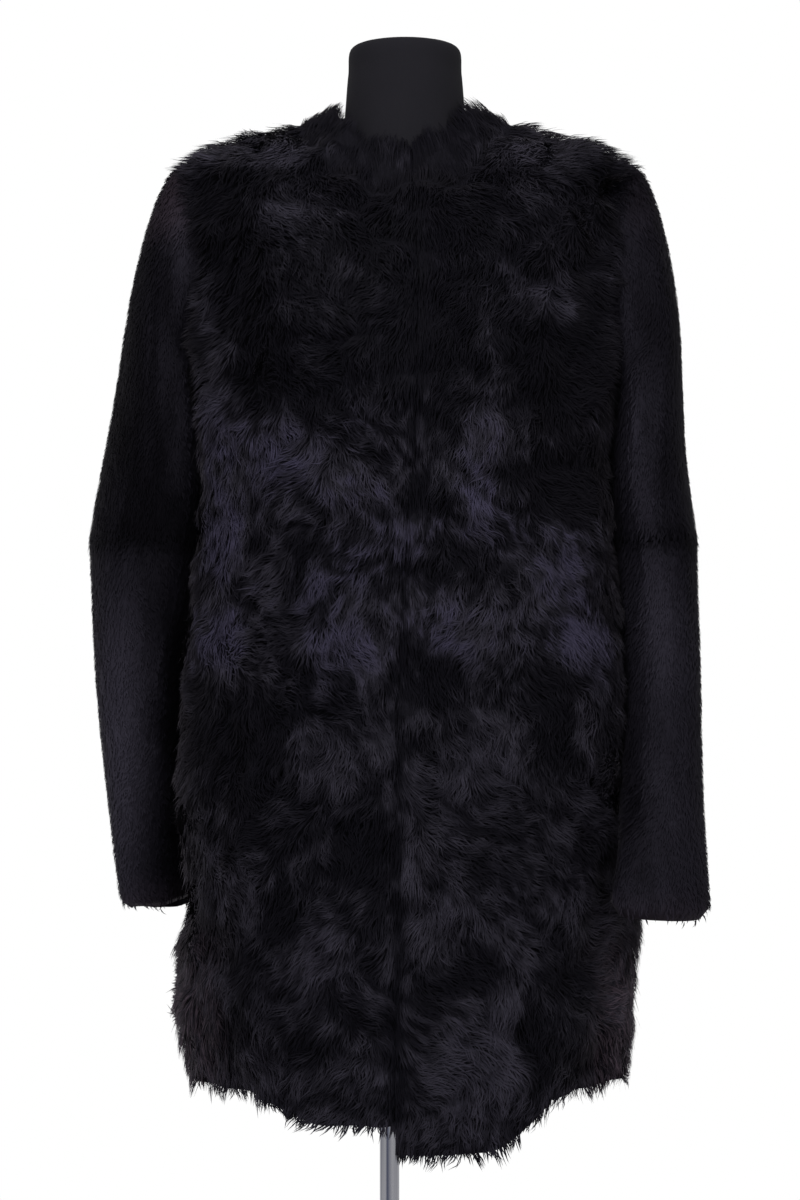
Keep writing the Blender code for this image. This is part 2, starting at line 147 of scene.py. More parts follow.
# Hollows and crests of the front's fur, sunk and raised in the hide and also painted into the hair's tone:
# painted shade in the hollows, painted highlight on the crests. Place sideways from the form's middle and
# height above the floor, half sizes, all in mm, and how deep or high from -1 to 1. The back has them
# mirrored.
lumps = inMetres([
    # side, height, halfWidth, halfHeight, rise
    (-154, 1326, 26, 18, -1.0),
    (-160, 1288, 16, 20, -0.6),
    (-155, 1261, 27, 37, -0.7),
    (-121, 1166, 28, 34, -0.9),
    (-34, 1298, 30, 30, -0.6),
    (-135, 1243, 7, 40, -0.6),
    (-94, 1234, 26, 28, 0.2),
    (-22, 1193, 26, 17, 0.25),
    (176, 1252, 7, 36, 0.6),
    (126, 1162, 40, 41, -1.0),
    (38, 1182, 24, 21, -0.6),
    (170, 1334, 22, 18, -0.9),
    (94, 1067, 15, 24, -0.7),
    (17, 1063, 27, 20, -0.6),
    (153, 1078, 24, 36, -0.8),
    (123, 1085, 31, 37, -1.0),
    (47, 1002, 32, 18, -0.6),
    (-87, 1011, 25, 27, -0.45),
    (-86, 924, 18, 18, -0.2),
    (18, 908, 27, 23, -0.9),
    (-143, 864, 44, 37, -1.0),
    (-131, 810, 27, 24, -0.8),
    (128, 878, 18, 52, -1.0),
    (-75, 1152, 22, 38, -0.3),
    (-34, 768, 24, 33, -0.8),
    (-102, 721, 19, 36, -0.9),
    (56, 670, 28, 20, -0.7),
    (38, 650, 24, 18, -0.8),
    (136, 658, 20, 15, -0.8),
    (-150, 609, 22, 16, -0.8),
    (-86, 602, 24, 17, -0.7),
    (105, 603, 13, 37, -0.8),
    (163, 585, 18, 18, -0.8),
    (164, 755, 15, 24, -0.6),
    (-118, 1356, 36, 14, 0.8),
    (100, 1364, 45, 12, 0.35),
    (-89, 1306, 44, 21, 0.68),
    (-87, 1361, 33, 12, 0.3),
    (-175, 1241, 20, 40, 0.8),
    (-160, 1144, 22, 77, 1.0),
    (-152, 1024, 24, 42, 1.0),
    (96, 1234, 43, 28, 0.45),
    (129, 1232, 18, 28, 1.0),
    (59, 1108, 28, 40, 0.4),
    (-112, 1096, 24, 29, 0.45),
    (-45, 1067, 35, 21, 0.45),
    (60, 1053, 28, 24, 0.4),
    (114, 1111, 25, 12, 0.8),
    (131, 998, 30, 30, 0.6),
    (-155, 941, 24, 34, 0.9),
    (-51, 936, 36, 21, 0.62),
    (43, 955, 50, 28, 0.52),
    (150, 938, 26, 25, 0.9),
    (-60, 841, 49, 27, 0.62),
    (52, 846, 53, 41, 0.45),
    (156, 870, 15, 31, 0.45),
    (-143, 736, 33, 38, 0.65),
    (-70, 675, 21, 39, 0.35),
    (11, 739, 13, 64, 0.5),
    (84, 648, 15, 67, 0.5),
    (58, 571, 40, 52, 0.7),
    (133, 714, 24, 29, 0.4),
    (18, 857, 22, 30, -0.45),
    (-136, 769, 28, 18, -0.7),
    (-150, 975, 18, 18, -0.6),
    (-44, 623, 15, 26, -0.5),
    (-168, 655, 22, 30, 0.5),
    (75, 1170, 15, 36, 0.45),
    (35, 1122, 13, 20, -0.5),
    (-66, 903, 20, 16, 0.4),
    (-40, 585, 23, 29, 0.3),
])
lumpRise = 0.0055      # metres for a crest of 1
lumpLimits = (-0.0075, 0.0065)
grooveDepth = 0.0028   # where the fronts meet
backShift = 0.035      # the back's lumps lie this much lower
# Places where the hair is combed to one side: side, height and radius in mm, and the turn in degrees
# (+ towards -X seen from the front).
combings = inMetres([
    (-96, 1290, 55, 62),
    (75, 1235, 45, -38),
    (20, 1200, 40, -25),
    (-150, 1060, 35, 18),
    (-50, 1020, 40, -35),
    (62, 1080, 35, -32),
    (125, 960, 40, 45),
    (70, 930, 35, -50),
    (-60, 930, 30, 40),
    (80, 770, 45, 70),
    (-30, 730, 35, -55),
    (-110, 680, 35, -40),
    (40, 660, 35, 60),
    (-140, 600, 35, 35),
    (120, 560, 35, -30),
])
closureLine = {  # where the fronts meet: height above the floor and place beside the form's middle
    "heights": (0.50, 0.80, 0.905, 1.02, 1.10, 1.17, 1.25, 1.36),
    "sides": (-0.007, -0.006, -0.004, 0.002, 0.009, 0.012, 0.013, 0.007),
}


def facing(normals):
    # How much a surface belongs to the front and to the back.
    return smooth(-normals[:, 1], 0.0, 0.45), smooth(normals[:, 1], 0.0, 0.45)


# Patches of the pelts: each bulges a little and is combed its own way.
patchwork = {
    "seed": 5,
    "gap": 0.034,          # metres between neighbouring patches
    "blend": 0.012,
    "turn": 46,            # degrees, usual size of a patch's own turn
    "bulge": 0.0028,
}


def makePatches(points):
    random = np.random.default_rng(patchwork["seed"])
    chosen = points[:1]
    for index in random.permutation(len(points)):
        apart = ((chosen - points[index]) ** 2).sum(axis=1)
        if apart.min() > patchwork["gap"] ** 2:
            chosen = np.vstack((chosen, points[index]))
    count = len(chosen)
    turns = np.clip(random.normal(0, patchwork["turn"], count), -85, 85)
    return {"places": chosen, "turns": np.radians(turns), "tones": random.uniform(-1, 1, count)}


def readPatches(points):
    # Each point's blend of its nearest patches: turn, tone, and how far up the bulge it lies.
    turn = np.empty(len(points))
    tone = np.empty(len(points))
    bulge = np.empty(len(points))
    for start in range(0, len(points), 6000):
        part = slice(start, start + 6000)
        apart = ((points[part, None, :] - patches["places"][None]) ** 2).sum(axis=2)
        nearest = apart.min(axis=1)
        weight = np.exp(-(apart - nearest[:, None]) / patchwork["blend"] ** 2)
        weight /= weight.sum(axis=1)[:, None]
        turn[part] = weight @ patches["turns"]
        tone[part] = weight @ patches["tones"]
        bulge[part] = 1 - smooth(np.sqrt(nearest), 0.003, patchwork["gap"] * 0.72)
    return turn, tone, bulge


def closureSide(height):
    return np.interp(height, closureLine["heights"], closureLine["sides"])


def byClosure(points, normals):
    # How close a point is to where the fronts meet, 0 to 1.
    apart = points[:, 0] - centreX - closureSide(points[:, 2])
    return np.exp(-(apart / 0.015) ** 2) * facing(normals)[0]


def lumpMap(points, normals):
    # The named hollows and crests alone, -1 to 1.
    side = points[:, 0] - centreX
    height = points[:, 2]
    front, back = facing(normals)
    stray = 0.0045 * softNoise(points, 0.020, 13) + 0.0025 * softNoise(points, 0.008, 14)
    total = np.zeros(len(points))
    for x, z, halfWidth, halfHeight, rise in lumps:
        onFront = ((side - x + stray) / halfWidth) ** 2 + ((height - z - stray) / halfHeight) ** 2
        onBack = (((side + x + stray) / halfWidth) ** 2
                  + ((height - z + backShift - stray) / halfHeight) ** 2)
        total = total + rise * (np.exp(-onFront ** 2) * front + np.exp(-onBack ** 2) * back)
    return np.clip(total, -1, 1)


def lumpHeight(points, normals):
    side = points[:, 0] - centreX
    bulge = readPatches(points)[2]
    total = patchwork["bulge"] * (bulge * 2 - 1) + 0.0010 * softNoise(points, 0.016, 12)
    total = total + lumpRise * lumpMap(points, normals)
    closure = np.exp(-((side - closureSide(points[:, 2])) / 0.006) ** 2)
    total = total - grooveDepth * closure * facing(normals)[0]
    return np.clip(total, *lumpLimits)


def turned(vectors, axes, angles):
    # Vectors turned about unit axes.
    c = np.cos(angles)[:, None]
    s = np.sin(angles)[:, None]
    along = (vectors * axes).sum(axis=1)[:, None]
    return vectors * c + np.cross(axes, vectors) * s + axes * along * (1 - c)


def unit(vectors):
    return vectors / np.maximum(np.linalg.norm(vectors, axis=1), 1e-9)[:, None]


def hairFlow(points, normals, wander):
    # The way the hair is combed: down, outwards over the shoulders, up round the neck. A wander of 1
    # turns it fully by its patch, 0 not at all.
    out = points - np.array((centreX, 0, 0))
    out[:, 2] = 0
    neckwards = np.linalg.norm(out, axis=1)
    rising = (1 - smooth(neckwards, 0.083, 0.103)) * (points[:, 2] > 1.25)
    flow = unit(out) * np.clip(normals[:, 2], 0, 1)[:, None] * 0.9 - up
    flow = flow * (1 - 2 * rising)[:, None]
    flow = unit(flow - normals * (flow * normals).sum(axis=1)[:, None])
    side = points[:, 0] - centreX
    front, back = facing(normals)
    angle = readPatches(points)[0]
    angle = angle + 0.25 * softNoise(points, 0.03, 22) + 0.30 * softNoise(points, 0.013, 23)
    quiet = np.zeros(len(points))
    named = np.zeros(len(points))
    for x, z, radius, turn in combings:
        onFront = np.exp(-((side - x) ** 2 + (points[:, 2] - z) ** 2) / radius ** 2) * front
        onBack = np.exp(-((side + x) ** 2 + (points[:, 2] - z + backShift) ** 2) / radius ** 2) * back
        named = named + math.radians(turn) * (onFront - onBack)
        quiet = quiet + onFront + onBack
    angle = angle * (1 - np.clip(quiet, 0, 1)) + named
    angle = angle * (1 - 0.9 * byClosure(points, normals)) * (1 - 0.85 * rising)
    return turned(flow, normals, angle * wander)


# ---- cloth sheets, taken from the solids' outer faces
def welded(mesh):
    shape = bmesh.new()
    shape.from_mesh(mesh)
    bmesh.ops.remove_doubles(shape, verts=shape.verts, dist=1e-5)
    return shape


def keepPaired(shape, mesh):
    # Makes quads again of the triangles that a solid is cut into, and keeps them in the mesh.
    bmesh.ops.join_triangles(
        shape, faces=shape.faces,
        angle_face_threshold=math.radians(40), angle_shape_threshold=math.radians(80))
    shape.to_mesh(mesh)
    shape.free()


def outerSheet(nodeName, levels):
    # The outer side of a wall as a quad sheet: the largest stretch of faces with no sharp edge in it.
    mesh = nodes[nodeName].data.copy()
    shape = welded(mesh)
    shape.faces.ensure_lookup_table()
    sharp = math.radians(50)
    seen = set()
    stretches = []
    for start in shape.faces:
        if start.index in seen:
            continue
        stretch = []
        stretches.append(stretch)
        waiting = [start]
        seen.add(start.index)
        while waiting:
            face = waiting.pop()
            stretch.append(face)
            for edge in face.edges:
                if len(edge.link_faces) != 2 or edge.calc_face_angle(0) > sharp:
                    continue
                for other in edge.link_faces:
                    if other.index not in seen:
                        seen.add(other.index)
                        waiting.append(other)
    keep = set(max(stretches, key=lambda faces: sum(face.calc_area() for face in faces)))
    bmesh.ops.delete(shape, geom=[face for face in shape.faces if face not in keep], context="FACES")
    keepPaired(shape, mesh)
    mesh.materials.clear()
    return subdivided(mesh, levels)


def linked(name, data):
    made = bpy.data.objects.new(name, data)
    bpy.context.scene.collection.objects.link(made)
    return made


def subdivided(mesh, levels):
    maker = linked("maker", mesh)
    rounder = maker.modifiers.new("round", "SUBSURF")
    rounder.levels = levels
    rounder.render_levels = levels
    rounder.boundary_smooth = "PRESERVE_CORNERS"
    return evaluated(maker)


def evaluated(maker):
    # The object's mesh with its modifiers applied; the object itself goes away.
    graph = bpy.context.evaluated_depsgraph_get()
    graph.update()
    result = bpy.data.meshes.new_from_object(maker.evaluated_get(graph))
    bpy.data.objects.remove(maker)
    return result


def meshArrays(mesh):
    points = np.empty(len(mesh.vertices) * 3)
    mesh.vertices.foreach_get("co", points)
    normals = np.empty(len(mesh.vertices) * 3)
    mesh.vertices.foreach_get("normal", normals)
    mesh.calc_loop_triangles()
    triangles = np.empty(len(mesh.loop_triangles) * 3, dtype=np.int64)
    mesh.loop_triangles.foreach_get("vertices", triangles)
    return points.reshape(-1, 3), normals.reshape(-1, 3), triangles.reshape(-1, 3)


def setPoints(mesh, points):
    mesh.vertices.foreach_set("co", points.ravel())
    mesh.update()


def addObject(name, mesh, finish):
    mesh.materials.clear()
    mesh.materials.append(finish.material)
    return linked(name, mesh)


def setAttribute(mesh, name, values):
    mesh.attributes.new(name, "FLOAT", "POINT").data.foreach_set("value", values.astype(np.float32))


def edgeDistance(mesh, above):
    # How far each point lies from the sheet's open edge, counting only edges above a height.
    edges = np.empty(len(mesh.edges) * 2, dtype=np.int64)
    mesh.edges.foreach_get("vertices", edges)
    users = np.empty(len(mesh.loops), dtype=np.int64)
    mesh.loops.foreach_get("edge_index", users)
    isOpen = np.bincount(users, minlength=len(mesh.edges)) == 1
    rim = np.unique(edges.reshape(-1, 2)[isOpen])
    points = meshArrays(mesh)[0]
    rim = rim[points[rim, 2] > above]
    if not len(rim):
        return np.full(len(points), 1.0)
    finder = KDTree(len(rim))
    for index in rim:
        finder.insert(points[index], int(index))
    finder.balance()
    return np.array([finder.find(point)[2] for point in points])


hem = {
    "lift": 0.0070,        # how far the hide's edge is drawn up, fading out over "reach"
    "reach": 0.10,
    "frontHeight": 0.545,  # below this the hair is trimmed, fading out over "fade"
    "backHeight": 0.555,
    "fade": 0.05,
}


def liftHem(points):
    # Draws a panel's lower edge up, so that the hair's tips and not the hide make the hem.
    angles = np.arctan2(points[:, 1], points[:, 0] - centreX)
    bins = np.round((angles + math.pi) * 24).astype(int)
    lowest = np.full(bins.max() + 1, np.inf)
    np.minimum.at(lowest, bins, points[:, 2])
    above = points[:, 2] - lowest[bins]
    points[:, 2] += hem["lift"] * (1 - smooth(above, 0, hem["reach"]))
    return points


# ---- long hair: tapered ribbons that follow the combing and draw together into locks
longHair = {
    "seed": 41,
    "length": 0.018,
    "width": 0.00095,
    "lockSize": 0.0085,
    "drawTogether": 0.24,
    "liftAtRoot": 35,      # degrees from the hide
    "liftAtTip": 5,
    "stations": (0.0, 0.52, 1.0),
    "widths": (0.9, 1.0, 0.0),
}


def doubledAreas(points, triangles):
    corner = points[triangles]
    return np.linalg.norm(np.cross(corner[:, 1] - corner[:, 0], corner[:, 2] - corner[:, 0]), axis=1)


def sampleSheet(points, normals, triangles, count, random, weight=None):
    # Evenly spread random places on a mesh, with smooth normals.
    area = doubledAreas(points, triangles)
    if weight is not None:
        area = area * weight[triangles].mean(axis=1)
    reach = np.cumsum(area)
    picks = (np.arange(count) + random.uniform(0, 1, count)) / count * reach[-1]
    chosen = np.minimum(np.searchsorted(reach, picks), len(triangles) - 1)
    first = np.sqrt(random.uniform(0, 1, count))
    second = random.uniform(0, 1, count)
    shares = np.stack((1 - first, first * (1 - second), first * second), axis=1)[:, :, None]
    place = (points[triangles[chosen]] * shares).sum(axis=1)
    normal = unit((normals[triangles[chosen]] * shares).sum(axis=1))
    return place, normal


def meanByGroup(values, groups, count):
    size = np.maximum(np.bincount(groups, minlength=count), 1)
    total = [np.bincount(groups, weights=values[:, axis], minlength=count) for axis in range(3)]
    return (np.stack(total, axis=1) / size[:, None])[groups]


furTone = {
    "level": 0.33,         # plain fur; the rest is added to it or taken away
    # lump: painted highlight on crests, painted shade in hollows
    "lump": 0.46,          # for a crest of 1
    "patch": 0.08,
    # bulge: painted highlight on a patch's bulge, painted shade between patches
    "bulge": 0.10,
    "waist": 0.04,
    "chest": 0.17,         # taken away
    "skirt": 0.03,
    "drift": 0.04,
    "onTop": 0.28,         # the shoulders, lit from above
    # closure: painted shade in the groove where the fronts meet
    "closure": 0.28,       # taken away
    "brightest": 0.79,
}


def furShade(points, normals):
    # How light and how blue-violet the fur is at each point, 0 to 1: random tone of patches and flecks,
    # with painted highlight on crests, bulges and the shoulders' tops, painted shade in hollows, between
    # patches and where the fronts meet, and a painted violet sheen on crests and light flecks, mostly about
    # the waist.
    side = points[:, 0] - centreX
    height = points[:, 2]
    named = lumpMap(points, normals)
    _, patchTone, bulge = readPatches(points)
    drift = np.stack([softNoise(points, 0.022, seed) for seed in (35, 36, 37)], axis=1)
    flecks = smooth(softNoise(points + 0.006 * drift, 0.011, 33), -1.0, 1.2) - 0.5
    chest = smooth(height, 1.10, 1.18)
    skirt = 1 - smooth(height, 0.86, 0.92)
    mottle = (0.36 * flecks + 0.05 * softNoise(points, 0.005, 34)) * (1 - 0.3 * chest - 0.2 * skirt)
    band = smooth(height, 0.885, 0.945) * (1 - smooth(height, 1.09, 1.17))
    onTop = smooth(height, 1.335, 1.36) * smooth(np.hypot(side, points[:, 1]), 0.100, 0.125)
    # painted highlight on crests and bulges, painted shade in hollows and between patches
    tone = furTone["level"] + furTone["lump"] * named + furTone["patch"] * patchTone
    tone = tone + furTone["bulge"] * (bulge - 0.5) + mottle
    tone = tone + furTone["waist"] * band - furTone["chest"] * chest + furTone["skirt"] * skirt
    tone = tone + furTone["drift"] * softNoise(points, 0.09, 31)
    tone = furTone["brightest"] * smooth(tone + furTone["onTop"] * onTop, 0.02, 0.80)
    # painted shade in the groove where the fronts meet
    closure = np.exp(-((side - closureSide(height)) / 0.0035) ** 2) * facing(normals)[0]
    stray = 0.2 * softNoise(points, 0.06, 32)
    # painted violet sheen on crests and light flecks, mostly about the waist
    violet = (0.1 + 0.9 * band) * smooth(named + 1.6 * mottle + stray, 0.0, 0.9)
    return tone - furTone["closure"] * closure, violet


def locksOf(places, size, random):
    # Numbers the locks that hairs belong to.
    cells = np.floor((places + 0.3 * size * random.normal(size=places.shape)) / size).astype(np.int64)
    lock = np.unique(cells @ np.array((1, 1009, 1018081)), return_inverse=True)[1].ravel()
    return lock, lock.max() + 1


def growHair(name, sheet, count, finish, weight=None, scale=1.0, puff=0.0):
    # Hair on a sheet given as its points, normals and triangles. puff lifts it and combs it outwards.
    random = np.random.default_rng(longHair["seed"] + count)
    root, normal = sampleSheet(*sheet, count, random, weight)
    lock, lockCount = locksOf(root, longHair["lockSize"], random)
    lockValue = random.uniform(-1, 1, (lockCount, 5))[lock]
    own = random.uniform(-1, 1, (count, 4))
    side = root[:, 0] - centreX
    height = root[:, 2]
    atShoulder = smooth(height, 1.325, 1.355) * smooth(np.abs(side), 0.150, 0.178)
    overSeam = smooth(np.abs(normal[:, 0]), 0.45, 0.8) * smooth(height, 1.10, 1.18)
    puffed = np.maximum(np.maximum(atShoulder, puff), 0.4 * overSeam)
    byNeck = 1 - smooth(np.hypot(side, root[:, 1]), 0.080, 0.105)
    length = longHair["length"] * scale * (1 + 0.18 * lockValue[:, 0] + 0.18 * own[:, 0])
    fly = random.uniform(0, 1, count) > 0.965
    hemHeight = np.where(root[:, 1] < 0, hem["frontHeight"], hem["backHeight"])
    atHem = 1 - smooth(height - hemHeight, 0.0, hem["fade"])
    meeting = byClosure(root, normal)
    length = length * np.where(fly, 1.2, 1.0) * (1 - 0.1 * puffed) * (1 - 0.2 * meeting)
    trimmed = np.where(own[:, 3] > 0.2, 0.15, 0.45) - 0.14 * lockValue[:, 0]
    length = length * (1 - atHem * trimmed) * (1 + 0.4 * atShoulder * (own[:, 3] > 0.5))
    atThroat = np.exp(-(side / 0.028) ** 2) * (root[:, 1] < -0.045)
    wisp = 1 + 0.6 * (own[:, 3] > 0.7)
    length = length * (1 + byNeck * (np.where(side > 0, 0.15, -0.40) + 0.9 * atThroat * wisp))
    outward = np.stack((np.sign(side), 0.15 * np.sign(root[:, 1]), np.zeros(count)), axis=1)
    place = root.copy()
    line = [root]
    stations = longHair["stations"]
    atNeckFront = byNeck * (root[:, 1] < -0.045)
    for step in range(1, len(stations)):
        share = (stations[step] + stations[step - 1]) / 2
        lift = longHair["liftAtRoot"] * (1 - share) ** 1.1 + longHair["liftAtTip"] * share
        lift = (lift + 40 * puff) * (1 - 0.5 * atShoulder) * (1 - 0.6 * atNeckFront) * (1 - 0.4 * meeting)
        lift = np.radians(lift) * (1 + 0.3 * lockValue[:, 1])
        lift = lift + np.where(fly, 0.2, 0.03) * own[:, 1]
        sway = 0.32 * lockValue[:, 2] + 1.0 * lockValue[:, 3] * (share - 0.3) + 0.32 * own[:, 2]
        flow = hairFlow(place, normal, 1 - 0.35 * atHem)
        flow = flow * (1 - puffed)[:, None] + unit(outward - normal * 0.2) * puffed[:, None]
        flow = turned(unit(flow), normal, sway * (1 - 0.5 * byNeck) * (1 - 0.8 * meeting))
        heading = flow * np.cos(lift)[:, None] + normal * np.sin(lift)[:, None]
        place = place + heading * (length * (stations[step] - stations[step - 1]))[:, None]
        line.append(place)
    for step in range(1, len(stations)):
        pull = longHair["drawTogether"] * stations[step] ** 1.4 * np.where(fly, 0.25, 1.0)
        pull = pull * (1 + 1.1 * np.maximum(1.2 * atHem, atShoulder))
        gathered = meanByGroup(line[step] - root, lock, lockCount) + meanByGroup(root, lock, lockCount)
        line[step] = line[step] + (gathered - line[step]) * pull[:, None]
    across = unit(np.cross(line[-1] - root, normal))
    roll = 0.5 * own[:, 3] + 0.2 * lockValue[:, 4]
    across = unit(across * np.cos(roll)[:, None] + normal * np.sin(roll)[:, None])
    shades = [furShade(points, normal) for points in line]
    ownTone = 0.075 * lockValue[:, 4] + 0.04 * own[:, 0]
    rose = roseRim(root) * smooth(own[:, 2], -0.6, 0.8)
    values = {
        "tone": [np.clip(tone + ownTone, 0, 1) for tone, _ in shades],
        "violet": [np.clip(violet + 0.08 * own[:, 1], 0, 1) for _, violet in shades],
        "rose": [np.clip(rose, 0, 1)] * len(line),
    }
    width = longHair["width"] * scale ** 0.5
    made = ribbonObject(name, line, across, width, longHair["widths"], values, finish)
    softNormals(made.data, np.repeat(normal, 2 * len(stations) - 1, axis=0), 0.94)
    return made


def softNormals(mesh, outward, share):
    # Shades each hair partly like the fur's surface under it, so the lumps show and not single hairs.
    own = meshArrays(mesh)[1]
    own = own * np.where((own * outward).sum(axis=1) < 0, -1, 1)[:, None]
    mesh.normals_split_custom_set_from_vertices(unit(outward * share + own * (1 - share)))


def roseRim(points):
    # Where daylight through the tips turns them rosy brown: the shoulders' ends and the skirt's corners.
    side = np.abs(points[:, 0] - centreX)
    shoulder = smooth(points[:, 2], 1.28, 1.31) * smooth(side, 0.177, 0.200)
    shoulder = shoulder * np.where(points[:, 0] > centreX, 0.05, 0.28)
    corner = (1 - smooth(points[:, 2], 0.62, 0.74)) * smooth(side, 0.14, 0.19)
    return shoulder + corner


def ribbonObject(name, line, across, width, widths, values, finish):
    count = len(across)
    last = len(line) - 1
    grid = []
    along = []
    for step in range(last):
        half = across * (width * widths[step] / 2)
        grid += [line[step] - half, line[step] + half]
        along += [step / last] * 2
    grid.append(line[last])
    along.append(1.0)
    perHair = len(grid)
    vertices = np.stack(grid, axis=1).reshape(-1, 3)
    base = np.arange(count)[:, None] * perHair
    quads = [(base + np.array((2 * s, 2 * s + 1, 2 * s + 3, 2 * s + 2))) for s in range(last - 1)]
    tip = base + np.array((2 * last - 2, 2 * last - 1, 2 * last))
    loops = np.concatenate(quads + [tip], axis=1).ravel()
    sizes = np.tile([4] * (last - 1) + [3], count)
    mesh = bpy.data.meshes.new(name)
    mesh.vertices.add(len(vertices))
    mesh.vertices.foreach_set("co", vertices.ravel())
    mesh.loops.add(len(loops))
    mesh.loops.foreach_set("vertex_index", loops.astype(np.int32))
    mesh.polygons.add(len(sizes))
    starts = np.concatenate(((0,), np.cumsum(sizes)[:-1]))
    mesh.polygons.foreach_set("loop_start", starts.astype(np.int32))
    mesh.polygons.foreach_set("use_smooth", np.ones(len(sizes), dtype=bool))
    mesh.update(calc_edges=True)
    mesh.validate()
    along = np.tile(along, count)
    setAttribute(mesh, "along", along)
    for key, stations in values.items():
        perPoint = [stations[min(step // 2, last)] for step in range(perHair)]
        setAttribute(mesh, key, np.stack(perPoint, axis=1).ravel())
    bakeCells(mesh, perHair, count, along)
    return addObject(name, mesh, finish)


def bakeCells(mesh, perHair, count, along):
    # A small place of its own for each hair on the OFBake UV map.
    cells = int(math.ceil(math.sqrt(count)))
    index = np.arange(count)
    column = np.repeat(index % cells, perHair)
    row = np.repeat(index // cells, perHair)
    side = np.tile([0, 1] * (perHair // 2) + [0.5], count)
    u = (column + 0.15 + 0.7 * side) / cells
    v = (row + 0.15 + 0.7 * along) / cells
    order = np.empty(len(mesh.loops), dtype=np.int32)
    mesh.loops.foreach_get("vertex_index", order)
    layer = mesh.uv_layers.new(name="OFBake")
    layer.data.foreach_set("uv", np.stack((u, v), axis=1)[order].astype(np.float32).ravel())


# ---- short pile on the sleeves: tufts spread over the cloth by Geometry Nodes
shortPile = {
    "seed": 7,
    "tufts": 4600,
    "blades": 5,
    "length": 0.0062,
    "width": 0.0012,
    "spread": 0.0038,
    "lean": 80,            # degrees from upright, towards the cuff
    "bareCuff": (0.0085, 0.0140),  # the tufts begin between these distances from the cuff's edge
    "bladeHeights": (0.0, 0.0, 0.55, 0.55, 1.0),  # of a blade's five points, root to tip
}


def tuftMesh():
    # A few leaning blades, root at the origin, leaning along +Y.
    random = np.random.default_rng(shortPile["seed"])
    vertices = []
    faces = []
    for blade in range(shortPile["blades"]):
        root = Vector((*random.uniform(-1, 1, 2), 0)) * shortPile["spread"]
        lean = math.radians(shortPile["lean"] + random.uniform(-9, 9))
        turn = random.uniform(-0.35, 0.35)
        ahead = Vector((math.sin(turn) * math.sin(lean), math.cos(turn) * math.sin(lean), math.cos(lean)))
        side = ahead.cross(Vector((0, 0, 1))).normalized() * shortPile["width"] / 2
        length = shortPile["length"] * random.uniform(0.75, 1.2)
        middle = root + ahead * length * 0.55 + Vector((0, 0, 0.0009))
        vertices += [root - side, root + side]
        vertices += [middle - side * 0.9, middle + side * 0.9, root + ahead * length]
        first = blade * 5
        faces += [(first, first + 1, first + 3, first + 2), (first + 2, first + 3, first + 4)]
    mesh = bpy.data.meshes.new("tuft")
    mesh.from_pydata([tuple(v) for v in vertices], [], faces)
    setAttribute(mesh, "along", np.tile(shortPile["bladeHeights"], shortPile["blades"]))
    return mesh


def pileTree(tuft, finish):
    tree = bpy.data.node_groups.new("shortPile", "GeometryNodeTree")
    for name, kind in (("Geometry", "Geometry"), ("Density", "Float"), ("Size", "Float"), ("Seed", "Int")):
        tree.interface.new_socket(name, in_out="INPUT", socket_type="NodeSocket" + kind)
    tree.interface.new_socket("Geometry", in_out="OUTPUT", socket_type="NodeSocketGeometry")

    def node(kind, settings=None, sockets=None):  # makes a node and hands back its outputs
        made = tree.nodes.new(kind)
        for key, value in (settings or {}).items():
            setattr(made, key, value)
        for key, value in (sockets or {}).items():
            if isinstance(value, bpy.types.NodeSocket):
                tree.links.new(value, made.inputs[key])
            else:
                made.inputs[key].default_value = value
        return made.outputs

    given = node("NodeGroupInput")
    fill = node("GeometryNodeInputNamedAttribute", {"data_type": "FLOAT"}, {"Name": "fill"})
    dense = node("ShaderNodeMath", {"operation": "MULTIPLY"}, {0: fill["Attribute"], 1: given["Density"]})
    spread = node("GeometryNodeDistributePointsOnFaces", None, {
        "Mesh": given["Geometry"], "Density": dense["Value"], "Seed": given["Seed"]})
    kept = node("GeometryNodeStoreNamedAttribute", {"data_type": "FLOAT_VECTOR", "domain": "POINT"}, {
        "Geometry": spread["Points"], "Name": "outward", "Value": spread["Normal"]})
    flow = node("GeometryNodeInputNamedAttribute", {"data_type": "FLOAT_VECTOR"}, {"Name": "flow"})
    upright = node("FunctionNodeAlignRotationToVector", {"axis": "Z"}, {"Vector": spread["Normal"]})
    combed = node("FunctionNodeAlignRotationToVector", {"axis": "Y", "pivot_axis": "Z"}, {
        "Rotation": upright["Rotation"], "Vector": flow["Attribute"]})
    swing = node("FunctionNodeRandomValue", {"data_type": "FLOAT"}, {2: -0.45, 3: 0.45, "Seed": 3})
    spin = node("FunctionNodeAxisAngleToRotation", None, {"Axis": (0, 0, 1), "Angle": swing[1]})
    aimed = node("FunctionNodeRotateRotation", {"rotation_space": "LOCAL"}, {
        "Rotation": combed["Rotation"], "Rotate By": spin["Rotation"]})
    sized = node("FunctionNodeRandomValue", {"data_type": "FLOAT"}, {2: 0.75, 3: 1.2, "Seed": 5})
    scaled = node("ShaderNodeMath", {"operation": "MULTIPLY"}, {0: sized[1], 1: given["Size"]})
    shape = node("GeometryNodeObjectInfo", None, {"Object": tuft})
    placed = node("GeometryNodeInstanceOnPoints", None, {
        "Points": kept["Geometry"], "Instance": shape["Geometry"], "Rotation": aimed["Rotation"],
        "Scale": scaled["Value"]})
    real = node("GeometryNodeRealizeInstances", None, {"Geometry": placed["Instances"]})
    dressed = node("GeometryNodeSetMaterial", None, {
        "Geometry": real["Geometry"], "Material": finish.material})
    node("NodeGroupOutput", None, {"Geometry": dressed["Geometry"]})
    return tree


